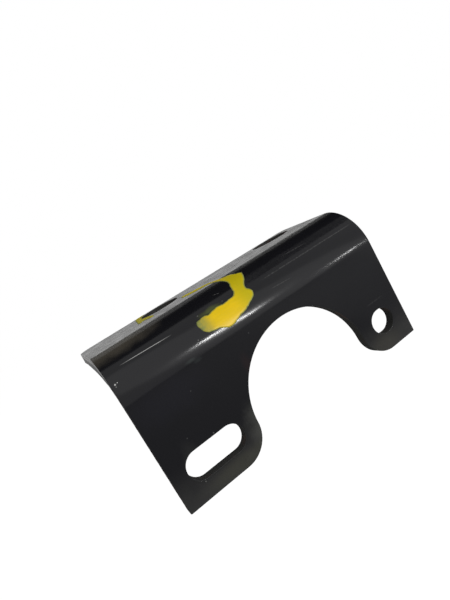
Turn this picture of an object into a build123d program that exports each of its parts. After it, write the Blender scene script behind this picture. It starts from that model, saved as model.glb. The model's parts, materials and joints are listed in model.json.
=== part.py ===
from build123d import *
import math
import os

# A stamped angle bracket: one steel sheet, trimmed, pierced and folded once along its length.
# The origin is midway between the two flange holes, on the flange's outer face.
# +X runs along the fold and +Z is square to the flange. The leg hangs down from the
# flange's front edge and faces -Y. All sizes are in millimetres.

# The sheet and its fold
thickness = 4.5
inner_bend_radius = 15.0
flange_depth = 60.5

# Corners of the trimmed blank, and the small soft edge along every cut on the outer side
flange_corner_radius = 5.0
leg_corner_radius = 0.5
edge_roll_radius = 0.25

# The round bite out of the leg's bottom edge, the ears beside it and the flat sheet left above it
arch_radius = 30.0
arch_centre_height = 11.0
crown_land = 4.5
left_ear_width = 39.0
right_ear_width = 26.0
ear_corner_radius = 12.0

# The long slot in the middle of the left ear, and the short one in the middle of the right ear
slot_width = 11.5
slot_length = 26.0
slot_height = 13.0
ear_hole_width = 11.0
ear_hole_length = 12.0
ear_hole_height = 13.0

# The two round holes in the flange: their centres from the ends, and the sheet left behind them
flange_hole_diameter = 20.0
left_flange_hole_inset = 39.5
right_flange_hole_inset = 16.5
flange_hole_back_land = 3.0

# Overall sizes that follow
outer_bend_radius = inner_bend_radius + thickness
length = left_ear_width + 2 * arch_radius + right_ear_width
leg_height = arch_centre_height + arch_radius + crown_land + outer_bend_radius
flange_hole_spacing = length - left_flange_hole_inset - right_flange_hole_inset

# Places that follow, in the part's own frame
left_end = -flange_hole_spacing / 2 - left_flange_hole_inset
right_end = left_end + length
back_edge = flange_hole_diameter / 2 + flange_hole_back_land
front_face = back_edge - flange_depth
bottom_edge = -leg_height
arch_x = left_end + left_ear_width + arch_radius
slot_x = left_end + left_ear_width / 2
ear_hole_x = right_end - right_ear_width / 2
bend_axis_y = front_face + outer_bend_radius
bend_axis_z = -outer_bend_radius

tolerance = 1e-4


def folded_sheet():
    """The sheet as folded: its side profile, drawn square to the fold and run along the length."""
    outer_turn = (bend_axis_y, bend_axis_z), outer_bend_radius, 180, -90
    inner_turn = (bend_axis_y, bend_axis_z), inner_bend_radius, 90, 90
    with BuildPart() as sheet:
        with BuildSketch(Plane.YZ.offset(left_end)):
            with BuildLine():
                Line((front_face, bottom_edge), (front_face, bend_axis_z))
                CenterArc(*outer_turn)
                Polyline(
                    (bend_axis_y, 0),
                    (back_edge, 0),
                    (back_edge, -thickness),
                    (bend_axis_y, -thickness),
                )
                CenterArc(*inner_turn)
                Polyline(
                    (front_face + thickness, bend_axis_z),
                    (front_face + thickness, bottom_edge),
                    (front_face, bottom_edge),
                )
            make_face()
        extrude(amount=length)
    return sheet.part


def leg_plane(x, height):
    """A drawing plane in the middle of the leg's thickness, seen from the front."""
    origin = (x, front_face + thickness / 2, bottom_edge + height)
    return Plane(origin=origin, x_dir=(1, 0, 0), z_dir=(0, -1, 0))


def leg_punch(outline, x, height):
    """A punch of the given outline that passes right through the leg."""
    return extrude(leg_plane(x, height) * outline, amount=thickness, both=True)


def flange_punch(x):
    """A round punch that passes right through the flange."""
    middle = Plane(origin=(x, 0, -thickness / 2))
    return extrude(middle * Circle(flange_hole_diameter / 2), amount=thickness, both=True)


def trim(sheet):
    """The arch, the rounded ears beside it and the rounded outer corners."""
    sheet = sheet - leg_punch(Circle(arch_radius), arch_x, arch_centre_height)
    bottom = sheet.edges().filter_by(Axis.Y).group_by(Axis.Z)[0].sort_by(Axis.X)
    sheet = fillet(bottom[1:-1], ear_corner_radius)
    bottom = sheet.edges().filter_by(Axis.Y).group_by(Axis.Z)[0].sort_by(Axis.X)
    sheet = fillet([bottom[0], bottom[-1]], leg_corner_radius)
    back = sheet.edges().filter_by(Axis.Z).group_by(Axis.Y)[-1]
    return fillet(back, flange_corner_radius)


def pierce(sheet):
    """The slot and the hole in the ears, and the two flange holes."""
    slot = SlotOverall(slot_length, slot_width)
    ear_hole = SlotOverall(ear_hole_length, ear_hole_width)
    sheet = sheet - leg_punch(slot, slot_x, slot_height)
    sheet = sheet - leg_punch(ear_hole, ear_hole_x, ear_hole_height)
    for x in (-flange_hole_spacing / 2, flange_hole_spacing / 2):
        sheet = sheet - flange_punch(x)
    return sheet


def on_outer_skin(point):
    """True on the side that faces out: the leg's front, the bend's outside and the flange's top."""
    if point.Z <= bend_axis_z:
        return abs(point.Y - front_face) < tolerance
    if point.Y >= bend_axis_y:
        return abs(point.Z) < tolerance
    from_axis = math.hypot(point.Y - bend_axis_y, point.Z - bend_axis_z)
    return abs(from_axis - outer_bend_radius) < tolerance


def skin_rim(sheet):
    """The edges round the outer skin and its openings: each belongs to one skin face only."""
    skin = [face for face in sheet.faces() if on_outer_skin(face.center())]
    edges = [edge for face in skin for edge in face.edges()]
    return [edge for edge in edges if sum(edge.is_same(other) for other in edges) == 1]


def bracket():
    """The finished bracket, with the outer skin's cut edges rolled over."""
    sheet = pierce(trim(folded_sheet()))
    return fillet(skin_rim(sheet), edge_roll_radius)


os.makedirs("parts", exist_ok=True)
export_step(bracket(), "parts/bracket.step")
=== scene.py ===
"""Dresses a stamped and folded steel bracket: its painted sheet, the yellow mark over its fold, and a plain studio."""

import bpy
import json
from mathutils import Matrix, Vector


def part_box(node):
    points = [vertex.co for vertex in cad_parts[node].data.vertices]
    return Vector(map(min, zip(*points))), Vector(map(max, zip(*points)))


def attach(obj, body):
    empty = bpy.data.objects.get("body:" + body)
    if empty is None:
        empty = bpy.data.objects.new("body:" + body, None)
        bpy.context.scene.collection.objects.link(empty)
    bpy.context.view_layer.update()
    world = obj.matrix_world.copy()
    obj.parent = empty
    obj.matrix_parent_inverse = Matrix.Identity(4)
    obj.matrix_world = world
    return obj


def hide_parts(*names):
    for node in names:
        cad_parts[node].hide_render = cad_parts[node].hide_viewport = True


bl_info = {
    "name": "Folded Steel Bracket",
    "version": (1, 0, 0),
    "blender": (4, 5, 0),
    "location": "3D View > Sidebar > Bracket",
    "description": "Builds a folded steel bracket in gloss black paint, its yellow paint mark and a plain studio",
    "category": "Add Mesh",
}

import json
import math

import bmesh
import bpy
from mathutils import Matrix, Vector, noise
from mathutils.geometry import delaunay_2d_cdt
from mathutils.kdtree import KDTree

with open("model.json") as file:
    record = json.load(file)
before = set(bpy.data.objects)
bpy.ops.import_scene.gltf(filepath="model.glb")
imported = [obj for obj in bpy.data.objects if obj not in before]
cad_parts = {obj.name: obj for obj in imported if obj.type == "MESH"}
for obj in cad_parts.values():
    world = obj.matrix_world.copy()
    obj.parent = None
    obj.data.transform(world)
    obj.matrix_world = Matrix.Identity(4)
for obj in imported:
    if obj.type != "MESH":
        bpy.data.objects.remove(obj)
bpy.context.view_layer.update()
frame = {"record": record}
node_low, node_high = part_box("bracket")
mounts = {mount["name"]: mount for mount in frame["record"]["mounts"]}

MM = 0.001

# What every length has in common, and every colour
LENGTH = {"unit": "LENGTH", "subtype": "DISTANCE"}
COLOUR = {"subtype": "COLOR", "size": 3, "min": 0, "max": 1}
# What gives a MapRange node soft ends
SMOOTH = {"interpolation_type": "SMOOTHSTEP"}

# How the pressed sheet wanders: each wave's lengths along and up the sheet in millimetres, its seed and its share
RIPPLES = ((34, 21, 3.7, 1.0), (13, 11, 8.1, 0.35))
# The bulge at the fold's ends, in millimetres: where up the fold it starts and how far in from each end it reaches.
# Past the fold it loses this share of itself over this much of the flange
BULGE_START, BULGE_REACH = 11.5, 4.0
BULGE_LOSS, BULGE_LOSS_RUN = 0.68, 22.0

# The mesh's steps round the fold and round the holes, as shares of its step on the flat, the shortest step in
# millimetres before a corner, and the most that one step turns on an arc
FOLD_STEP, HOLE_STEP = 0.65, 0.6
SHORTEST_STEP, WIDEST_TURN = 0.3, math.pi / 12

# A place on the fold, along Y and Z in metres, that the lamps look at
FOLD_PLACE = (-0.045, -0.012)
# The camera, as fitted to the photograph: its lens and sensor in millimetres, its place in metres and its three axes
CAMERA_LENS, CAMERA_SENSOR = 27.347, 36
CAMERA_PLACE = (-0.08420, -0.20692, 0.01881)
CAMERA_RIGHT, CAMERA_UP = (0.78432, -0.38180, -0.48895), (0.50594, -0.06239, 0.86031)
CAMERA_BACK = (-0.35897, -0.92214, 0.14423)

# Where wear shows, in millimetres on the flat sheet: along the fold, then up from the leg's bottom edge.
# A scratch has its two ends, its width, how pale it is, and whether it is broken up
SCRATCHES = (
    ((-67.5, 60.1), (-45.5, 59.2), 0.26, 0.62, False),
    ((-4.0, 57.9), (50.0, 57.3), 0.5, 0.07, True),
    ((12.0, 62.4), (26.0, 61.6), 0.25, 0.1, True),
    ((-22.6, 64.7), (-19.6, 63.8), 0.3, 0.2, True),
    ((-3.0, 52.6), (9.0, 51.8), 0.25, 0.08, True),
    ((33.0, 22.6), (44.5, 22.4), 0.5, 0.03, True),
)
# A chip has its place, its radius and how pale it is
CHIPS = (
    (-72.3, 54.8, 0.4, 0.8), (-71.3, 55.0, 0.26, 0.7), (-72.4, 53.9, 0.3, 0.25), (-51.3, 37.6, 0.35, 0.05),
    (-20.4, 43.1, 0.35, 0.05), (-38.9, 51.6, 0.3, 0.2), (-39.9, 50.9, 0.25, 0.15), (-61.2, 24.0, 0.3, 0.06),
    (-52.0, 19.6, 0.35, 0.12), (-63.5, 6.6, 0.3, 0.16), (-33.2, 59.9, 0.3, 0.2), (-21.5, 59.6, 0.3, 0.12),
)
# A smear, or the patch of painted reflection tint, has its centre, its half sizes, how thick it is, and its colour
SMEARS_AND_PAINTED_REFLECTION = (
    (-28.0, 59.0, 6.5, 2.0, 0.18, "#8c9a3c"),
    (-66.0, 70.5, 26.0, 7.5, 0.18, "#8a8272"),
    (-45.6, 46.9, 3.2, 1.1, 0.05, "#8fa09a"),
    (-43.0, 45.6, 2.6, 1.0, 0.03, "#8fa09a"),
    (-32.0, 10.0, 10.0, 13.0, 0.14, "#86877f"),
    (-48.0, 3.0, 22.0, 4.5, 0.05, "#8c8c6c"),
    (-63.0, 17.0, 4.0, 8.0, 0.03, "#84847c"),
    (-27.0, 33.0, 3.0, 6.0, 0.02, "#8c4a40"),
    # Painted reflection: a faint violet tint on the leg's left side, up to the start of the fold, where the gloss
    # mirrors the room
    (-60.0, 40.0, 20.0, 10.0, 0.008, "#7878a0"),
    (34.0, 3.5, 12.0, 7.0, 0.035, "#8c8668"),
    (19.5, 9.0, 3.5, 8.0, 0.03, "#8c4a40"),
)
# How thickly dust lies on the flange, and how thinly along the leg's foot
FLANGE_DUST, FOOT_DUST = 0.12, 0.05

# The outlines of the yellow paint, in the same millimetres: the hook over the fold, with the thin line that its arm
# trails over the flange, and the dab at the left flange hole
DAUBS = (
    (
        (-5.5, 67.4), (-5.9, 66.1), (-7.1, 63.6), (-8.9, 61.3), (-10.1, 58.9), (-9.4, 57.8), (-8.9, 56.3),
        (-9.3, 55.0), (-10.6, 53.7), (-12.6, 52.9), (-14.3, 51.9), (-17.1, 50.9), (-19.4, 50.5), (-21.7, 49.7),
        (-23.4, 49.1), (-25.0, 49.0), (-27.5, 49.8), (-29.4, 50.9), (-31.9, 51.3), (-33.6, 51.9), (-34.9, 53.0),
        (-35.6, 54.6), (-35.8, 56.5), (-35.2, 57.7), (-34.0, 58.0), (-31.6, 58.3), (-29.8, 57.9), (-26.9, 58.5),
        (-24.1, 58.7), (-21.7, 58.3), (-18.3, 58.7), (-16.9, 58.9), (-15.7, 59.7), (-15.0, 61.4), (-14.2, 64.0),
        (-13.5, 65.8), (-13.3, 67.2), (-13.6, 68.6), (-14.2, 70.2), (-15.0, 71.9), (-15.7, 73.6), (-16.5, 75.8),
        (-17.4, 78.2), (-18.9, 79.4), (-20.8, 80.2), (-22.6, 81.2), (-24.4, 82.6), (-26.0, 84.8), (-27.0, 88.4),
        (-25.6, 92.4), (-23.4, 91.6), (-21.4, 89.6), (-19.6, 88.4), (-17.8, 86.6), (-16.2, 84.6), (-14.9, 82.2),
        (-14.2, 79.2), (-13.6, 76.0), (-12.4, 73.8), (-11.2, 72.8), (-10.2, 72.2), (-9.1, 71.6), (-8.2, 70.4),
        (-7.2, 69.0),
    ),
    (
        (-41.6, 116.4), (-44.2, 115.2), (-45.9, 108.4), (-47.2, 100.2), (-48.6, 92.0), (-47.8, 89.0), (-46.2, 91.0),
        (-44.9, 88.6), (-43.8, 86.2), (-42.4, 86.0), (-41.3, 89.4), (-41.4, 93.2), (-42.0, 97.2), (-43.0, 100.8),
        (-43.3, 104.2), (-42.9, 108.2), (-41.6, 111.8), (-39.6, 114.6), (-39.4, 116.0),
    ),
)


def tone(code):
    """A colour written as sRGB hex, turned to the linear colour that Blender works with."""
    parts = [int(code[at : at + 2], 16) / 255 for at in (1, 3, 5)]
    return tuple(part / 12.92 if part <= 0.04045 else ((part + 0.055) / 1.055) ** 2.4 for part in parts)


class BracketSizes(bpy.types.PropertyGroup):
    """The bracket's own sizes. Its length, height and depth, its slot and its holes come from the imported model."""

    thickness: bpy.props.FloatProperty(
        name="Thickness", description="Thickness of the steel sheet", default=4.5 * MM, **LENGTH
    )
    inner_bend_radius: bpy.props.FloatProperty(
        name="Inner bend radius", description="Radius inside the fold", default=15 * MM, **LENGTH
    )
    flange_corner_radius: bpy.props.FloatProperty(
        name="Flange corner radius", description="Radius of the flange's two back corners", default=5 * MM, **LENGTH
    )
    leg_corner_radius: bpy.props.FloatProperty(
        name="Leg corner radius", description="Radius of the leg's two outer corners", default=0.5 * MM, **LENGTH
    )
    arch_radius: bpy.props.FloatProperty(
        name="Arch radius", description="Radius of the round cut-out in the leg", default=30 * MM, **LENGTH
    )
    arch_centre_height: bpy.props.FloatProperty(
        name="Arch centre height",
        description="Height of the cut-out's centre over the leg's bottom edge",
        default=11 * MM,
        **LENGTH,
    )
    left_ear_width: bpy.props.FloatProperty(
        name="Left ear width",
        description="Width of the slotted ear, from its end to the cut-out",
        default=39 * MM,
        **LENGTH,
    )
    ear_corner_radius: bpy.props.FloatProperty(
        name="Ear corner radius",
        description="Radius where each ear turns into the cut-out",
        default=12 * MM,
        **LENGTH,
    )
    edge_roll_radius: bpy.props.FloatProperty(
        name="Edge roll radius",
        description="Radius of the small soft edge along every cut on the outer side",
        default=0.25 * MM,
        **LENGTH,
    )
    unevenness: bpy.props.FloatProperty(
        name="Unevenness",
        description="How far the pressed sheet wanders from a true surface",
        default=0.07 * MM,
        **LENGTH,
    )
    mesh_step: bpy.props.FloatProperty(
        name="Mesh step", description="Spacing of the mesh on the sheet", default=1.25 * MM, **LENGTH
    )
    end_bulge: bpy.props.FloatProperty(
        name="End bulge",
        description="How far the fold's squeezed inner side stands out at each end",
        default=0.65 * MM,
        **LENGTH,
    )
    film_thickness: bpy.props.FloatProperty(
        name="Paint mark thickness", description="Thickness of the brushed yellow paint", default=0.14 * MM, **LENGTH
    )


class BracketColours(bpy.types.PropertyGroup):
    """The colours of the bracket's paint and of what shows through it."""

    black: bpy.props.FloatVectorProperty(
        name="Black paint", description="Colour of the gloss paint", default=tone("#131316"), **COLOUR
    )
    dust: bpy.props.FloatVectorProperty(
        name="Dust",
        description="Colour of the dust and dried splashes on the paint",
        default=tone("#8c8b80"),
        **COLOUR,
    )
    rust: bpy.props.FloatVectorProperty(
        name="Rust", description="Colour of the rust that stains the cut edges", default=tone("#7a4a3c"), **COLOUR
    )
    scratch: bpy.props.FloatVectorProperty(
        name="Scratch", description="Colour of paint whitened by a scratch", default=tone("#c9c9c6"), **COLOUR
    )
    yellow: bpy.props.FloatVectorProperty(
        name="Yellow paint",
        description="Colour of the brushed mark where it is thick",
        default=tone("#bdac04"),
        **COLOUR,
    )
    deep_yellow: bpy.props.FloatVectorProperty(
        name="Deep yellow", description="Colour of the mark where it lies thickest", default=tone("#e0bc04"), **COLOUR
    )
    furrow_yellow: bpy.props.FloatVectorProperty(
        name="Furrow yellow",
        description="Colour of the mark between the brush ridges",
        default=tone("#a89c08"),
        **COLOUR,
    )
    thin_yellow: bpy.props.FloatVectorProperty(
        name="Thin yellow paint",
        description="Colour of the mark's thin rim, where black shows through",
        default=tone("#7b8448"),
        **COLOUR,
    )


class StudioSettings(bpy.types.PropertyGroup):
    """The plain studio round the bracket."""

    floor: bpy.props.FloatVectorProperty(
        name="Floor", description="Colour of the floor", default=tone("#f2f2f2"), **COLOUR
    )
    background: bpy.props.FloatVectorProperty(
        name="Background", description="Colour of the background", default=tone("#ffffff"), **COLOUR
    )
    floor_drop: bpy.props.FloatProperty(
        name="Floor drop",
        description="Distance from the bracket's lowest edge down to the floor",
        default=150 * MM,
        **LENGTH,
    )
    room_light: bpy.props.FloatProperty(
        name="Room light", description="Strength of the even light from all sides", default=0.5, min=0, soft_max=2
    )
    softbox_level: bpy.props.FloatProperty(
        name="Softbox level",
        description="Brightness that the large front light adds to the room, where 1 is white",
        default=1.4,
        min=0,
        soft_max=10,
    )
    strip_level: bpy.props.FloatProperty(
        name="Strip level",
        description="Brightness of the narrow front light, where 1 is white",
        default=180,
        min=0,
        soft_max=400,
    )


def clamp(value, high=1.0):
    """The value, held between 0 and high."""
    return min(max(value, 0), high)


def even(first, last, step):
    """Evenly spaced values from first to last, both included, about a step apart."""
    count = max(1, round(abs(last - first) / step))
    return [first + (last - first) * n / count for n in range(count + 1)]


def line(start, end, outward, step):
    """Points along a straight cut, each with the direction that leads off the sheet. The last point is left out."""
    start, end = Vector(start), Vector(end)
    return [(start.lerp(end, part), Vector(outward)) for part in even(0, 1, step / (end - start).length)[:-1]]


def arc(centre, radius, first, last, side, step):
    """Points along a round cut, from one angle to another in radians, as line gives them. side is 1 where the sheet
    fills the arc and -1 where it surrounds it."""
    turns = even(first, last, min(step / radius, WIDEST_TURN))[:-1]
    rays = [Vector((math.cos(turn), math.sin(turn))) for turn in turns]
    return [(Vector(centre) + ray * radius, ray * side) for ray in rays]


class Blank:
    """The flat sheet, in millimetres: x along the fold, s up the outer side from the leg's bottom edge, and depth into
    the sheet."""

    def __init__(self, sizes):
        for name in BracketSizes.__annotations__:
            setattr(self, name, getattr(sizes, name) / MM)
        self.left, self.right = node_low.x / MM, node_high.x / MM
        self.front, self.bottom = node_low.y / MM, node_low.z / MM
        self.outer_radius = self.inner_bend_radius + self.thickness
        self.axis_y, self.axis_z = self.front + self.outer_radius, -self.outer_radius
        self.bend_start = self.axis_z - self.bottom
        self.bend_end = self.bend_start + self.outer_radius * math.pi / 2
        self.top = self.up_flange(node_high.y / MM)
        self.arch = Vector((self.left + self.left_ear_width + self.arch_radius, self.arch_centre_height))

    def up_flange(self, y):
        """How far up the sheet a place on the flange lies."""
        return self.bend_end + y - self.axis_y

    def ripple(self, x, s):
        """How far the pressed sheet stands out of its true surface."""
        waves = (share * noise.noise(Vector((x / along, s / up, seed))) for along, up, seed, share in RIPPLES)
        return self.unevenness * sum(waves)

    def bulge(self, x, s, depth):
        """How far along the fold a point near one of the sheet's ends has moved out, where folding has squeezed the
        inner side."""
        start = self.bend_start + BULGE_START
        rise = math.sin(math.pi / 2 * clamp((s - start) / (self.bend_end - start)))
        fall = 1 - BULGE_LOSS * clamp((s - self.bend_end) / BULGE_LOSS_RUN)
        amount = self.end_bulge * rise * fall * clamp(depth / self.thickness)
        near_right, near_left = (max(0, 1 - inset / BULGE_REACH) for inset in (self.right - x, x - self.left))
        return amount * (near_right - near_left)

    def place(self, x, s, depth):
        """Where a point of the sheet lies in the scene once it is folded."""
        x += self.bulge(x, s, depth)
        depth -= self.ripple(x, s)
        if s < self.bend_start:
            y, z = self.front + depth, self.bottom + s
        elif s < self.bend_end:
            turn, radius = (s - self.bend_start) / self.outer_radius, self.outer_radius - depth
            y, z = self.axis_y - radius * math.cos(turn), self.axis_z + radius * math.sin(turn)
        else:
            y, z = self.axis_y + s - self.bend_end, -depth
        return Vector((x, y, z)) * MM

    def rows(self):
        """The mesh's rows up the sheet, closer together round the bend."""
        step = self.mesh_step
        leg, flange = even(0, self.bend_start, step), even(self.bend_end, self.top, step)
        return leg[:-1] + even(self.bend_start, self.bend_end, step * FOLD_STEP) + flange[1:]

    def outer_cut(self):
        """The sheet's outer edge, with the arch and the rounded ears, walked with the sheet on the left."""
        left, right, top, step, quarter = self.left, self.right, self.top, self.mesh_step, math.pi / 2
        ear, corner, back = self.ear_corner_radius, self.leg_corner_radius, self.flange_corner_radius
        reach = math.sqrt((self.arch_radius + ear) ** 2 - (self.arch.y - ear) ** 2)
        lean = math.atan2(self.arch.y - ear, reach)
        left_ear, right_ear = self.arch.x - reach, self.arch.x + reach
        lowest, highest = corner + SHORTEST_STEP, top - back - SHORTEST_STEP
        rising = [corner] + [row for row in self.rows() if lowest < row < highest] + [top - back]
        return (
            line((left + corner, 0), (left_ear, 0), (0, -1), step)
            + arc((left_ear, ear), ear, -quarter, lean, 1, step)
            + arc(self.arch, self.arch_radius, math.pi + lean, -lean, -1, step)
            + arc((right_ear, ear), ear, math.pi - lean, 3 * quarter, 1, step)
            + line((right_ear, 0), (right - corner, 0), (0, -1), step)
            + arc((right - corner, corner), corner, -quarter, 0, 1, step)
            + [(Vector((right, row)), Vector((1, 0))) for row in rising[:-1]]
            + arc((right - back, top - back), back, 0, quarter, 1, step)
            + line((right - back, top), (left + back, top), (0, 1), step)
            + arc((left + back, top - back), back, quarter, math.pi, 1, step)
            + [(Vector((left, row)), Vector((-1, 0))) for row in rising[:0:-1]]
            + arc((left + corner, corner), corner, math.pi, 3 * quarter, 1, step)
        )

    def slot_cut(self, mount):
        """A long hole in the leg, from its mount's place and sizes."""
        x, _, z = (value / MM for value in mount["pos_m"])
        radius, length = mount["dims"]["hole_r_mm"], mount["dims"]["slot_length_mm"]
        s, half, quarter, step = z - self.bottom, length / 2 - radius, math.pi / 2, self.mesh_step * HOLE_STEP
        return (
            arc((x + half, s), radius, quarter, -quarter, -1, step)
            + line((x + half, s - radius), (x - half, s - radius), (0, 1), step)
            + arc((x - half, s), radius, 3 * quarter, quarter, -1, step)
            + line((x - half, s + radius), (x + half, s + radius), (0, -1), step)
        )

    def flange_holes(self):
        """The centres of the flange's round holes, on the flat sheet, and their radius."""
        mount = mounts["flange_holes"]
        x, y, _ = (value / MM for value in mount["pos_m"])
        half = mount["dims"]["spacing_x_mm"] / 2
        return [Vector((x + side, self.up_flange(y))) for side in (-half, half)], mount["dims"]["hole_r_mm"]

    def cuts(self):
        """All the sheet's cut edges."""
        centres, radius = self.flange_holes()
        rounds = [arc(centre, radius, math.tau, 0, -1, self.mesh_step * HOLE_STEP) for centre in centres]
        return [self.outer_cut(), self.slot_cut(mounts["ear_slot"]), self.slot_cut(mounts["ear_hole"]), *rounds]

    def rolled_depth(self, x, s):
        """How far the rolled edge of a flange hole has sunk under the flange's face."""
        centres, radius = self.flange_holes()
        roll = self.edge_roll_radius
        into_roll = roll - min((Vector((x, s)) - centre).length for centre in centres) + radius
        return roll - math.sqrt(roll**2 - clamp(into_roll, roll) ** 2)


def closed_shell(cuts, rings, inner, top, under, place, dull_below=math.inf):
    """A closed mesh over a part of the flat sheet. cuts are its edges, and each of rings gives their wall an inset, a
    depth and a roughness. inner are the points between the edges, top and under give their depths, and place folds
    them. Walls deeper than dull_below take the piece's second material."""
    # How near the points between may come to an edge, as a share of its spacing, the waves of a torn wall to the
    # millimetre, and how near two points count as one
    edge_share, torn_waves, same_point = 0.6, 0.9, 1e-6
    outline = [stop for cut in cuts for stop in cut]
    edges, start = [], 0
    for cut in cuts:
        edges += [(start + n, start + (n + 1) % len(cut)) for n in range(len(cut))]
        start += len(cut)
    inset = rings[0][0]
    border = [point - outward * inset for point, outward in outline]
    nearest = KDTree(len(border))
    for n, point in enumerate(border):
        nearest.insert(point.to_3d(), n)
    nearest.balance()

    def clearance(point):
        """The distance to the nearest edge, below zero off the sheet."""
        found, n, distance = nearest.find(point.to_3d())
        return distance if (point - found.to_2d()).dot(outline[n][1]) < 0 else -distance

    spacing = sum((border[a] - border[b]).length for a, b in edges) / len(edges)
    kept = [point for point in inner if clearance(point) > edge_share * spacing]
    points, _, triangles, *_ = delaunay_2d_cdt(border + kept, edges, [], 0, same_point)
    if len(points) != len(border) + len(kept):
        raise RuntimeError("Two edges of the flat sheet cross or touch, so it can't be filled: check the sizes")

    made = bmesh.new()
    flat_mm = made.verts.layers.float_vector.new("flat_mm")
    clearance_mm = made.verts.layers.float.new("clearance_mm")

    def corner(point, depth, gap):
        """A corner of the mesh, which carries its place on the flat sheet and its distance from the edge."""
        vert = made.verts.new(place(point.x, point.y, depth))
        vert[flat_mm], vert[clearance_mm] = (point.x, point.y, depth), gap
        return vert

    def ring_corners(inset, depth, rough):
        """One ring of the wall, roughened as the tear left it."""
        shifts = [inset + rough * noise.noise(Vector((point.x, point.y, depth)) * torn_waves) for point, _ in outline]
        return [corner(point - outward * shift, depth, 0.0) for (point, outward), shift in zip(outline, shifts)]

    wall = [(ring_corners(*ring), ring[1]) for ring in rings]
    gaps = [clearance(point) for point in kept]
    upper = wall[0][0] + [corner(point, top(point, gap), gap) for point, gap in zip(kept, gaps)]
    lower = wall[-1][0] + [corner(point, under, gap) for point, gap in zip(kept, gaps)]
    for triangle in triangles:
        if clearance(sum((points[n] for n in triangle), Vector((0, 0))) / 3) > 0:
            made.faces.new([upper[n] for n in triangle])
            made.faces.new([lower[n] for n in reversed(triangle)])
    for (above, depth), (below, _) in zip(wall, wall[1:]):
        for a, b in edges:
            made.faces.new((above[a], below[a], below[b], above[b])).material_index = int(depth > dull_below)
    joined = {"angle_face_threshold": math.radians(8), "angle_shape_threshold": math.radians(40)}
    bmesh.ops.join_triangles(made, faces=made.faces, **joined)
    bmesh.ops.recalc_face_normals(made, faces=made.faces)
    for face in made.faces:
        face.smooth = True
    return made


def piece_from(made, name, *materials):
    """Puts a finished bmesh into the scene as a piece that rides on the bracket's body."""
    if name in bpy.data.objects:
        bpy.data.objects.remove(bpy.data.objects[name])
    mesh = bpy.data.meshes.new(name)
    made.to_mesh(mesh)
    made.free()
    for material in materials:
        mesh.materials.append(material)
    piece = bpy.data.objects.new(name, mesh)
    bpy.context.scene.collection.objects.link(piece)
    piece.modifiers.new("Even shading", "WEIGHTED_NORMAL").keep_sharp = True
    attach(piece, "root")
    return piece


def add_node(tree, kind, sockets=None, **settings):
    """Adds a node. settings are its own properties, and sockets hold a value, or the output or node that feeds each
    input."""
    node = tree.nodes.new("ShaderNode" + kind)
    for name, value in settings.items():
        setattr(node, name, value)
    for name, value in (sockets or {}).items():
        if isinstance(value, bpy.types.Node):
            value = next(output for output in value.outputs if output.enabled)
        if isinstance(value, bpy.types.NodeSocket):
            tree.links.new(value, node.inputs[name])
        else:
            node.inputs[name].default_value = value
    return node


def new_material(name):
    """An empty material of that name, and its node tree."""
    if name in bpy.data.materials:
        bpy.data.materials.remove(bpy.data.materials[name])
    material = bpy.data.materials.new(name)
    material.use_nodes = True
    material.node_tree.nodes.clear()
    return material, material.node_tree


def colour(value):
    """A colour property as the four numbers that a socket takes."""
    return (*value, 1.0)


def scratch_mask(tree, flat, start, end, width):
    """A mask of one straight scratch on the flat sheet, which thins out at both ends."""
    run = Vector(end) - Vector(start)
    turn = math.atan2(run.y, run.x)
    along = Matrix.Rotation(-turn, 2) @ Vector(start)
    local = add_node(tree, "Mapping", {"Vector": flat, "Rotation": (0, 0, -turn), "Location": (-along.x, -along.y, 0)})
    axes = add_node(tree, "SeparateXYZ", {"Vector": local})
    off = add_node(tree, "Math", {0: axes.outputs["Y"]}, operation="ABSOLUTE")
    mask = add_node(tree, "MapRange", {"Value": off, "From Min": width * 0.75, "From Max": width * 0.25}, **SMOOTH)
    # It thins out over 6 mm at each end, or over a third of a short one
    fade = min(6.0, run.length / 3)
    for first, last in ((0.0, fade), (run.length, run.length - fade)):
        tip = add_node(tree, "MapRange", {"Value": axes.outputs["X"], "From Min": first, "From Max": last})
        mask = add_node(tree, "Math", {0: mask, 1: tip}, operation="MULTIPLY")
    return mask


def cloudy_patch_mask(tree, flat, patches, x, s, half_x, half_s):
    """A mask of one cloudy patch on the flat sheet, which fades out all round."""
    centred = {"Location": (-x / half_x, -s / half_s, 0), "Scale": (1 / half_x, 1 / half_s, 0)}
    local = add_node(tree, "Mapping", {"Vector": flat, **centred})
    distance = add_node(tree, "VectorMath", {0: local}, operation="LENGTH").outputs["Value"]
    # The clouds push its rim in and out
    uneven = add_node(tree, "Math", {0: patches, 1: 0.9, 2: distance}, operation="MULTIPLY_ADD")
    return add_node(tree, "MapRange", {"Value": uneven, "From Min": 1.5, "From Max": 0.7}, **SMOOTH)


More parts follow.
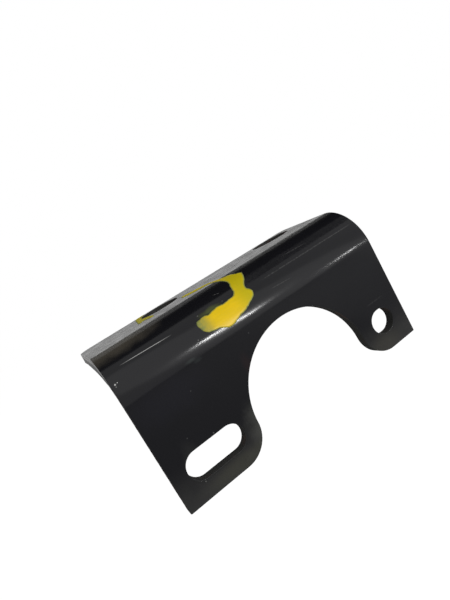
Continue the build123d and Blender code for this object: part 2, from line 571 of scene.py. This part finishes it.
def gloss_black_paint(colours, blank):
    """Gloss black enamel, dipped and baked on stamped steel. It gives the eye a near-black skin with soft-edged
    reflections, a grey sheen where it is seen at a low angle, faint orange peel, a film of dust, and pale lines and
    dots where handling has broken the gloss."""
    material, tree = new_material("gloss_black_enamel_dipped")
    flat = add_node(tree, "Attribute", attribute_name="flat_mm").outputs["Vector"]
    axes = add_node(tree, "SeparateXYZ", {"Vector": flat})
    up, depth = axes.outputs["Y"], axes.outputs["Z"]

    # Clouds of 7 mm break up the dust, and grain of 0.9 mm breaks up the scratches
    patches = add_node(tree, "TexNoise", {"Vector": flat, "Scale": 1 / 7, "Detail": 5.0, "Roughness": 0.6})
    grain = add_node(tree, "TexNoise", {"Vector": flat, "Scale": 1 / 0.9, "Detail": 3.0, "Roughness": 0.7})

    # A film of dust on the flange, and a thinner one along the leg's bottom edge: where each begins, and where it is
    # full
    cloud = add_node(tree, "MapRange", {"Value": patches, "From Min": 0.25, "From Max": 0.7, "To Min": 0.5}, **SMOOTH)
    on_flange, on_foot = (blank.bend_end - 9, blank.bend_end + 2, FLANGE_DUST), (19.0, 2.0, FOOT_DUST)
    film = 0.0
    for begins, full, share in (on_flange, on_foot):
        spread = {"Value": up, "From Min": begins, "From Max": full, "To Max": share}
        reach = add_node(tree, "MapRange", spread, **SMOOTH)
        film = add_node(tree, "Math", {0: film, 1: reach}, operation="MAXIMUM")
    film = add_node(tree, "Math", {0: film, 1: cloud}, operation="MULTIPLY")
    paint = add_node(tree, "Mix", {0: film, 6: colour(colours.black), 7: colour(colours.dust)}, data_type="RGBA")

    # Smears left by hands and by dried water, each in its own tint, and a faint violet patch of painted reflection on
    # the leg's left side, below the fold
    for x, s, half_x, half_s, share, code in SMEARS_AND_PAINTED_REFLECTION:
        mask = cloudy_patch_mask(tree, flat, patches, x, s, half_x, half_s)
        mask = add_node(tree, "Math", {0: mask, 1: share}, operation="MULTIPLY")
        paint = add_node(tree, "Mix", {0: mask, 6: paint, 7: colour(tone(code))}, data_type="RGBA")

    # Scratches whiten the paint, and chips show as pale specks, both on the outer side alone
    on_skin = add_node(tree, "MapRange", {"Value": depth, "From Min": 0.6, "From Max": 0.1})
    broken = add_node(tree, "MapRange", {"Value": grain, "From Min": 0.35, "From Max": 0.6}, **SMOOTH)
    marks = 0.0
    for start, end, width, share, is_broken in SCRATCHES:
        mask = scratch_mask(tree, flat, start, end, width)
        mask = add_node(tree, "Math", {0: mask, 1: share}, operation="MULTIPLY")
        if is_broken:
            mask = add_node(tree, "Math", {0: mask, 1: broken}, operation="MULTIPLY")
        marks = add_node(tree, "Math", {0: marks, 1: mask}, operation="MAXIMUM")
    for x, s, radius, share in CHIPS:
        distance = add_node(tree, "VectorMath", {0: flat, 1: (x, s, 0)}, operation="DISTANCE").outputs["Value"]
        dot = {"Value": distance, "From Min": radius, "From Max": radius * 0.5, "To Max": share}
        mask = add_node(tree, "MapRange", dot, **SMOOTH)
        marks = add_node(tree, "Math", {0: marks, 1: mask}, operation="MAXIMUM")
    marks = add_node(tree, "Math", {0: marks, 1: on_skin}, operation="MULTIPLY")
    shown = add_node(tree, "Mix", {0: marks, 6: paint, 7: colour(colours.scratch)}, data_type="RGBA")

    # The gloss varies over 18 mm, and dust and scratches dull it
    dust_dulls, scratch_dulls = 1.5, 0.6
    sheen = add_node(tree, "TexNoise", {"Vector": flat, "Scale": 1 / 18, "Detail": 4.0})
    uneven = {"Value": sheen, "From Min": 0.3, "From Max": 0.7, "To Min": 0.11, "To Max": 0.16}
    gloss = add_node(tree, "MapRange", uneven)
    dulled = add_node(tree, "Math", {0: film, 1: dust_dulls, 2: gloss}, operation="MULTIPLY_ADD")
    scratched = add_node(tree, "Math", {0: marks, 1: scratch_dulls}, operation="MULTIPLY")
    roughness = add_node(tree, "Math", {0: dulled, 1: scratched}, operation="MAXIMUM")

    # Orange peel has a wave of about 1.4 mm, and is a few thousandths of a millimetre deep
    peel = add_node(tree, "TexNoise", {"Vector": flat, "Scale": 1 / 1.4, "Detail": 1.0})
    bump = add_node(tree, "Bump", {"Height": peel, "Strength": 1.0, "Distance": 0.003 * MM})
    shine = {"Roughness": roughness, "IOR": 1.5, "Specular IOR Level": 0.2}
    shader = add_node(tree, "BsdfPrincipled", {"Base Color": shown, "Normal": bump, **shine})
    add_node(tree, "OutputMaterial", {"Surface": shader})
    return material


def dull_cut_enamel(colours, blank):
    """The same enamel, thin and dull over the sheared edges. It gives the eye a dark matt wall with fine upright shear
    marks, torn and grainy in its lower half."""
    material, tree = new_material("dull_enamel_on_sheared_edge")
    flat = add_node(tree, "Attribute", attribute_name="flat_mm").outputs["Vector"]
    axes = add_node(tree, "SeparateXYZ", {"Vector": flat})
    depth = axes.outputs["Z"]

    # Shear marks are about 0.3 mm apart and run through the thickness; they are drawn 0.6 mm apart, so that they show
    upright = add_node(tree, "Mapping", {"Vector": flat, "Scale": (1, 1, 0.12)})
    shear = add_node(tree, "TexNoise", {"Vector": upright, "Scale": 1 / 0.6, "Detail": 2.0})
    torn = add_node(tree, "TexNoise", {"Vector": flat, "Scale": 1 / 0.5, "Detail": 4.0, "Roughness": 0.7})
    # The wall is sheared down to 1.6 mm and torn from 2.4 mm
    is_torn = add_node(tree, "MapRange", {"Value": depth, "From Min": 1.6, "From Max": 2.4}, **SMOOTH)
    height = add_node(tree, "Mix", {0: is_torn, 2: shear, 3: torn}, data_type="FLOAT")
    shade = add_node(tree, "MapRange", {"Value": torn, "From Min": 0.3, "From Max": 0.7, "To Min": 0.04, "To Max": 0.1})
    dusty = add_node(tree, "Mix", {0: shade, 6: colour(colours.black), 7: colour(colours.dust)}, data_type="RGBA")
    # Rust stains it in clouds of 6 mm
    clouds = add_node(tree, "TexNoise", {"Vector": flat, "Scale": 1 / 6, "Detail": 3.0})
    rusty = add_node(tree, "MapRange", {"Value": clouds, "From Min": 0.5, "From Max": 0.7, "To Max": 0.12}, **SMOOTH)
    shown = add_node(tree, "Mix", {0: rusty, 6: dusty, 7: colour(colours.rust)}, data_type="RGBA")
    bump = add_node(tree, "Bump", {"Height": height, "Strength": 1.0, "Distance": 0.03 * MM})

    # More of the enamel has run off the leg's walls than off the flange's, so they are duller
    on_flange = add_node(tree, "MapRange", {"Value": is_torn, "To Min": 0.35, "To Max": 0.5})
    up_fold = {"Value": axes.outputs["Y"], "From Min": blank.bend_start + 4, "From Max": blank.bend_start + 15}
    roughness = add_node(tree, "MapRange", {**up_fold, "To Min": 0.9, "To Max": on_flange})
    shine = {"Roughness": roughness, "IOR": 1.45, "Specular IOR Level": 0.16}
    shader = add_node(tree, "BsdfPrincipled", {"Base Color": shown, "Normal": bump, **shine})
    add_node(tree, "OutputMaterial", {"Surface": shader})
    return material


def yellow_brushed_paint(colours):
    """Yellow marking paint, brushed on by hand. It gives the eye a strong flat yellow with faint ridges along the
    stroke, a soft gloss that is gone on the flange, and a thin olive rim where the black under it shows through."""
    material, tree = new_material("yellow_marking_paint_brushed")
    flat = add_node(tree, "Attribute", attribute_name="flat_mm").outputs["Vector"]
    gap = add_node(tree, "Attribute", attribute_name="clearance_mm").outputs["Fac"]
    axes = add_node(tree, "SeparateXYZ", {"Vector": flat})

    # Brush ridges are about 1 mm apart and run along the stroke
    combed = add_node(tree, "Mapping", {"Vector": flat, "Scale": (0.16, 1, 1)})
    ridges = add_node(tree, "TexNoise", {"Vector": combed, "Scale": 1 / 1.1, "Detail": 2.0})
    patches = add_node(tree, "TexNoise", {"Vector": flat, "Scale": 1 / 2.6, "Detail": 4.0, "Roughness": 0.6})

    # The paint is thick and warm in the hook's lower left part, below the flange
    down_fold = {"Value": axes.outputs["Y"], "From Min": 82.0, "From Max": 72.0}
    warmth = add_node(tree, "MapRange", down_fold)
    to_the_left = {"Value": axes.outputs["X"], "From Min": -11.0, "From Max": -20.0, "To Max": warmth}
    deep = add_node(tree, "MapRange", to_the_left, **SMOOTH)
    body = add_node(tree, "Mix", {0: deep, 6: colour(colours.yellow), 7: colour(colours.deep_yellow)}, data_type="RGBA")
    furrow = add_node(tree, "MapRange", {"Value": ridges, "From Min": 0.35, "From Max": 0.65, "To Max": 0.12}, **SMOOTH)
    body = add_node(tree, "Mix", {0: furrow, 6: body, 7: colour(colours.furrow_yellow)}, data_type="RGBA")

    # It runs out in patches at its rim and at the end of the stroke, and less so on the flange
    ragged = add_node(tree, "MapRange", {"Value": patches, "From Min": 0.3, "From Max": 0.6, "To Min": 0.65}, **SMOOTH)
    rim = add_node(tree, "MapRange", {"Value": gap, "From Min": 0.8, "From Max": 0.05}, **SMOOTH)
    run_out = add_node(tree, "MapRange", {**down_fold, "To Min": 0.35})
    stroke_end = {"Value": axes.outputs["X"], "From Min": -28.0, "From Max": -35.5, "To Max": run_out}
    tail = add_node(tree, "MapRange", stroke_end, **SMOOTH)
    thin = add_node(tree, "Math", {0: rim, 1: tail}, operation="MAXIMUM")
    thin = add_node(tree, "Math", {0: thin, 1: ragged}, operation="MULTIPLY")
    shown = add_node(tree, "Mix", {0: thin, 6: body, 7: colour(colours.thin_yellow)}, data_type="RGBA")
    bump = add_node(tree, "Bump", {"Height": ridges, "Strength": 1.0, "Distance": 0.02 * MM})

    # It has dried matt on the flange, where the film is thin and dusty
    roughness = add_node(tree, "MapRange", {**down_fold, "To Min": 0.9, "To Max": 0.3})
    shine = {"Roughness": roughness, "IOR": 1.48, "Specular IOR Level": 0.18}
    shader = add_node(tree, "BsdfPrincipled", {"Base Color": shown, "Normal": bump, **shine})
    add_node(tree, "OutputMaterial", {"Surface": shader})
    return material


class BRACKET_OT_make_sheet(bpy.types.Operator):
    """Builds the trimmed, pierced and folded sheet and paints it gloss black"""

    bl_idname = "bracket.make_sheet"
    bl_label = "Make Bracket Sheet"

    def execute(self, context):
        blank, colours = Blank(context.scene.bracket_sizes), context.scene.bracket_colours
        roll, sheet = blank.edge_roll_radius, blank.thickness
        # From the outer skin down the cut: the rolled edge, the smooth sheared band, the rough torn band, and paint
        # rounding the last edge. Each ring has its inset, its depth and its roughness, in millimetres
        turns = [math.pi / 2 * n / 5 for n in range(6)]
        rings = [(roll * (1 - math.sin(turn)), roll * (1 - math.cos(turn)), 0.0) for turn in turns]
        torn_inset, torn_grain, soft, soft_grain = 0.02, 0.05, 0.15, 0.02
        sheared_end, torn_start, rounding = sheet * 0.4, sheet * 0.55, soft * 0.3
        rings += [(0.0, sheared_end, 0.0), (torn_inset, torn_start, torn_grain), (torn_inset, sheet - soft, torn_grain)]
        rings += [(torn_inset + rounding, sheet - rounding, soft_grain), (torn_inset + soft, sheet, 0.0)]
        columns = even(blank.left, blank.right, blank.mesh_step)
        inner = [Vector((x, s)) for s in blank.rows() for x in columns]
        dull_below = roll * 0.5
        made = closed_shell(blank.cuts(), rings, inner, lambda point, gap: 0.0, sheet, blank.place, dull_below)
        piece = piece_from(made, "bracket_sheet", gloss_black_paint(colours, blank), dull_cut_enamel(colours, blank))
        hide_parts("bracket")
        return {"FINISHED"}


def brushed_outline(corners, step):
    """A smooth closed outline through a few corners, a little ragged as a brush leaves it, walked with the paint on the
    left. The curve between two corners also heeds the corner before and the one after."""
    # How far the edge strays in millimetres, and its waves to the millimetre
    raggedness, ragged_waves = 0.22, 0.7
    corners = [Vector(corner) for corner in corners]
    area = sum(a.x * b.y - b.x * a.y for a, b in zip(corners, corners[1:] + corners[:1]))
    if area < 0:
        corners.reverse()
    points = []
    for n in range(len(corners)):
        a, b, c, d = (corners[(n + k) % len(corners)] for k in (-1, 0, 1, 2))
        for part in even(0, 1, step / (c - b).length)[:-1]:
            bend = 2 * a - 5 * b + 4 * c - d + part * (3 * b - 3 * c + d - a)
            points.append(b + 0.5 * part * (c - a + part * bend))
    outline = []
    for n, point in enumerate(points):
        run = (points[(n + 1) % len(points)] - points[n - 1]).normalized()
        outward = Vector((run.y, -run.x))
        shift = raggedness * noise.noise(Vector((point.x * ragged_waves, point.y * ragged_waves, 2.0)))
        outline.append((point + outward * shift, outward))
    return outline


class BRACKET_OT_make_yellow_mark(bpy.types.Operator):
    """Lays the yellow paint over the fold and beside the left flange hole, as a thin film on the sheet"""

    bl_idname = "bracket.make_yellow_mark"
    bl_label = "Make Yellow Paint Mark"

    def execute(self, context):
        blank = Blank(context.scene.bracket_sizes)
        # In millimetres: the mesh's step, how far in from its rim the film is full, and how far it goes into the sheet
        step, full_at, sunk = 0.45, 0.7, 0.05
        film, rim_share, ridge_share = blank.film_thickness, 0.15, 0.25
        cuts = [brushed_outline(daub, step) for daub in DAUBS]
        inner = []
        for cut in cuts:
            xs, ups = [point.x for point, _ in cut], [point.y for point, _ in cut]
            inner += [Vector((x, s)) for s in even(min(ups), max(ups), step) for x in even(min(xs), max(xs), step)]

        def film_top(point, gap):
            """The depth of the film's face, below zero: it rises from its rim, and has ridges along the stroke."""
            rise = min(gap / full_at, 1.0)
            ridge = noise.noise(Vector((point.x * 0.2, point.y * 1.3, 5.0)))
            return -film * (rim_share + (1 - rim_share) * rise * (2 - rise)) * (1 + ridge_share * ridge)

        def place(x, s, depth):
            """Where the film lies once the sheet is folded. It follows the rolled edge of a flange hole."""
            return blank.place(x, s, depth + blank.rolled_depth(x, s))

        rings = [(0.0, -rim_share * film, 0.0), (0.0, sunk, 0.0)]
        made = closed_shell(cuts, rings, inner, film_top, sunk, place)
        piece_from(made, "yellow_paint_mark", yellow_brushed_paint(context.scene.bracket_colours))
        return {"FINISHED"}


def facing(azimuth, elevation, distance, tilt, target):
    """The place and turn of a lamp that looks at the target. Azimuth is measured out of the YZ plane towards +X,
    elevation from -Y up round the X axis, and tilt turns the lamp's long side from level, all in degrees."""
    across, up, roll = (math.radians(angle) for angle in (azimuth, elevation, tilt))
    away = Vector((math.sin(across), -math.cos(across) * math.cos(up), math.cos(across) * math.sin(up)))
    level = Vector((math.cos(across), math.sin(across) * math.cos(up), -math.sin(across) * math.sin(up)))
    long_side = math.cos(roll) * level + math.sin(roll) * Vector((0, math.sin(up), math.cos(up)))
    turn = Matrix((long_side, away.cross(long_side), away)).transposed()
    return Matrix.Translation(Vector(target) + away * distance) @ turn.to_4x4()


def studio_light(name, size, level, matrix):
    """A rectangular lamp of a given brightness, where 1 is white. It isn't seen by the camera itself."""
    data = bpy.data.lights.new(name, "AREA")
    data.shape, data.size, data.size_y = "RECTANGLE", *size
    data.energy = level * math.pi * size[0] * size[1]
    lamp = bpy.data.objects.new(name, data)
    lamp.matrix_world = matrix
    lamp.visible_camera = False
    bpy.context.scene.collection.objects.link(lamp)


def stage_plane(name, size, matrix, material):
    """A flat rectangle that belongs to the stage."""
    mesh = bpy.data.meshes.new(name)
    half_x, half_y = size[0] / 2, size[1] / 2
    corners = [(-half_x, -half_y, 0), (half_x, -half_y, 0), (half_x, half_y, 0), (-half_x, half_y, 0)]
    mesh.from_pydata(corners, [], [(0, 1, 2, 3)])
    mesh.materials.append(material)
    plane = bpy.data.objects.new(name, mesh)
    plane.matrix_world = matrix
    bpy.context.scene.collection.objects.link(plane)
    return plane


def background_rays(tree):
    """1 for what the camera sees by itself, in a reflection or through glass, and 0 for light that falls on the
    bracket."""
    path = add_node(tree, "LightPath")
    direct = {0: path.outputs["Is Camera Ray"], 1: path.outputs["Is Glossy Ray"]}
    seen = add_node(tree, "Math", direct, operation="MAXIMUM")
    return add_node(tree, "Math", {0: seen, 1: path.outputs["Is Transmission Ray"]}, operation="MAXIMUM")


def white_board(studio):
    """Matt white board, rolled out flat. It gives the eye an even white that goes over into the background and holds a
    faint shadow."""
    material, tree = new_material("white_board_matt")
    board = add_node(tree, "BsdfDiffuse", {"Color": colour(studio.floor)})
    shadow_share = 0.3
    dim_board = add_node(tree, "BsdfDiffuse", {"Color": (shadow_share, shadow_share, shadow_share, 1.0)})
    glow_share = 1 - shadow_share * studio.room_light
    glow = add_node(tree, "Emission", {"Color": colour(studio.background), "Strength": glow_share})
    seen = add_node(tree, "AddShader", {0: dim_board, 1: glow})
    both = add_node(tree, "MixShader", {0: background_rays(tree), 1: board, 2: seen})
    add_node(tree, "OutputMaterial", {"Surface": both})
    return material


def flag_cloth(name, code):
    """Matt cloth stretched on a frame, which a studio hangs where a glossy part would mirror too much white. It gives
    the eye the dark and the grey bands in the paint."""
    material, tree = new_material(name)
    cloth = add_node(tree, "BsdfDiffuse", {"Color": colour(tone(code))})
    add_node(tree, "OutputMaterial", {"Surface": cloth})
    return material


class BRACKET_OT_set_stage(bpy.types.Operator):
    """Sets the floor, the background, the lamps, the flags and the camera"""

    bl_idname = "bracket.set_stage"
    bl_label = "Set Studio"

    def execute(self, context):
        scene, studio = context.scene, context.scene.bracket_studio
        ground = node_low.z - studio.floor_drop
        on_floor = ground + 4 * MM
        stage_plane("floor", (12, 12), Matrix.Translation((0, 0, ground)), white_board(studio))

        # Flags shape only what the gloss mirrors. Each has its size and place in metres, its tip back from flat in
        # degrees, and its cloth
        black, grey = flag_cloth("black_velvet_stretched", "#060606"), flag_cloth("grey_felt_stretched", "#a9a9a9")
        pale, dim = flag_cloth("pale_calico_stretched", "#c4c4c4"), flag_cloth("dim_felt_stretched", "#7c7c7c")
        for name, size, place, tip, cloth in (
            ("ceiling_flag", (3.0, 0.72), (0.2, 0.32, 0.7), 0, black),
            ("right_ceiling_flag", (1.5, 0.75), (1.05, 0.43, 0.69), 0, black),
            ("right_ceiling_card", (1.5, 0.3), (1.05, -0.08, 0.68), 0, grey),
            ("rear_left_card", (2.35, 0.7), (-0.625, 1.4, 1.095), 90, pale),
            ("rear_right_card", (1.65, 0.7), (1.375, 1.4, 1.095), 90, grey),
            ("rear_low_card", (4.0, 0.35), (0.2, 1.4, 0.57), 90, dim),
            ("rear_low_flag", (2.2, 0.3), (1.01, 1.4, ground + 0.15), 90, black),
            ("rear_floor_flag", (1.6, 1.36), (0.71, 0.68, on_floor), 0, black),
            ("left_floor_flag", (0.5, 0.84), (-0.34, 0.42, on_floor), 0, black),
            ("front_floor_card", (0.79, 0.95), (-0.075, -0.83, on_floor), 0, grey),
            ("right_floor_card", (0.35, 0.95), (0.495, -0.83, on_floor), 0, pale),
        ):
            tipped = Matrix.Translation(place) @ Matrix.Rotation(math.radians(tip), 4, "X")
            flag = stage_plane(name, size, tipped, cloth)
            flag.visible_camera = flag.visible_diffuse = flag.visible_shadow = flag.visible_transmission = False

        world = scene.world or bpy.data.worlds.new("Studio")
        scene.world = world
        world.use_nodes = True
        tree = world.node_tree
        tree.nodes.clear()
        room = add_node(tree, "Background", {"Color": (1, 1, 1, 1), "Strength": studio.room_light})
        backdrop = add_node(tree, "Background", {"Color": colour(studio.background), "Strength": 1.0})
        both = add_node(tree, "MixShader", {0: background_rays(tree), 1: room, 2: backdrop})
        add_node(tree, "OutputWorld", {"Surface": both})

        # The lamps look at places on the fold. Two layers of cloth make the softbox fade out towards its edges
        softbox = facing(14.7, 28.7, 1.1, -57, (-0.010, *FOLD_PLACE))
        left_strip = facing(19.6, 12.4, 1.0, -46, (-0.025, *FOLD_PLACE))
        right_strip = facing(36.5, -2.5, 1.0, 23, (0.040, *FOLD_PLACE))
        for name, size, level, matrix in (
            ("softbox_outer", (1.86, 0.66), studio.softbox_level / 2, softbox),
            ("softbox_inner", (1.66, 0.44), studio.softbox_level / 2, softbox),
            ("left_strip", (0.225, 0.02), studio.strip_level * 1.15, left_strip),
            ("right_strip", (0.049, 0.018), studio.strip_level * 0.62, right_strip),
        ):
            studio_light(name, size, level, matrix)

        camera = bpy.data.objects.new("camera", bpy.data.cameras.new("camera"))
        camera.data.lens, camera.data.sensor_width, camera.data.sensor_fit = CAMERA_LENS, CAMERA_SENSOR, "AUTO"
        camera.data.clip_start = 10 * MM
        turn = Matrix((CAMERA_RIGHT, CAMERA_UP, CAMERA_BACK)).transposed()
        camera.matrix_world = Matrix.Translation(CAMERA_PLACE) @ turn.to_4x4()
        scene.collection.objects.link(camera)
        scene.camera = camera
        scene.view_settings.view_transform = "Standard"
        return {"FINISHED"}


class BRACKET_PT_panel(bpy.types.Panel):
    """Lists the bracket's sizes, colours and steps"""

    bl_label = "Folded Steel Bracket"
    bl_space_type = "VIEW_3D"
    bl_region_type = "UI"
    bl_category = "Bracket"

    def draw(self, context):
        layout, scene = self.layout, context.scene
        for title, group, steps in (
            ("Sheet", scene.bracket_sizes, (BRACKET_OT_make_sheet, BRACKET_OT_make_yellow_mark)),
            ("Colours", scene.bracket_colours, ()),
            ("Studio", scene.bracket_studio, (BRACKET_OT_set_stage,)),
        ):
            box = layout.box()
            box.label(text=title)
            for name in type(group).__annotations__:
                box.prop(group, name)
            for step in steps:
                box.operator(step.bl_idname)


GROUPS = {"bracket_sizes": BracketSizes, "bracket_colours": BracketColours, "bracket_studio": StudioSettings}
CLASSES = (*GROUPS.values(), BRACKET_OT_make_sheet, BRACKET_OT_make_yellow_mark, BRACKET_OT_set_stage, BRACKET_PT_panel)


def register():
    for added in CLASSES:
        bpy.utils.register_class(added)
    for name, group in GROUPS.items():
        setattr(bpy.types.Scene, name, bpy.props.PointerProperty(type=group))


def unregister():
    for name in GROUPS:
        delattr(bpy.types.Scene, name)
    for added in reversed(CLASSES):
        bpy.utils.unregister_class(added)


def main():
    """Builds the whole scene."""
    register()
    bpy.ops.bracket.make_sheet()
    bpy.ops.bracket.make_yellow_mark()
    bpy.ops.bracket.set_stage()
    bpy.context.view_layer.update()


if __name__ == "__main__":
    main()
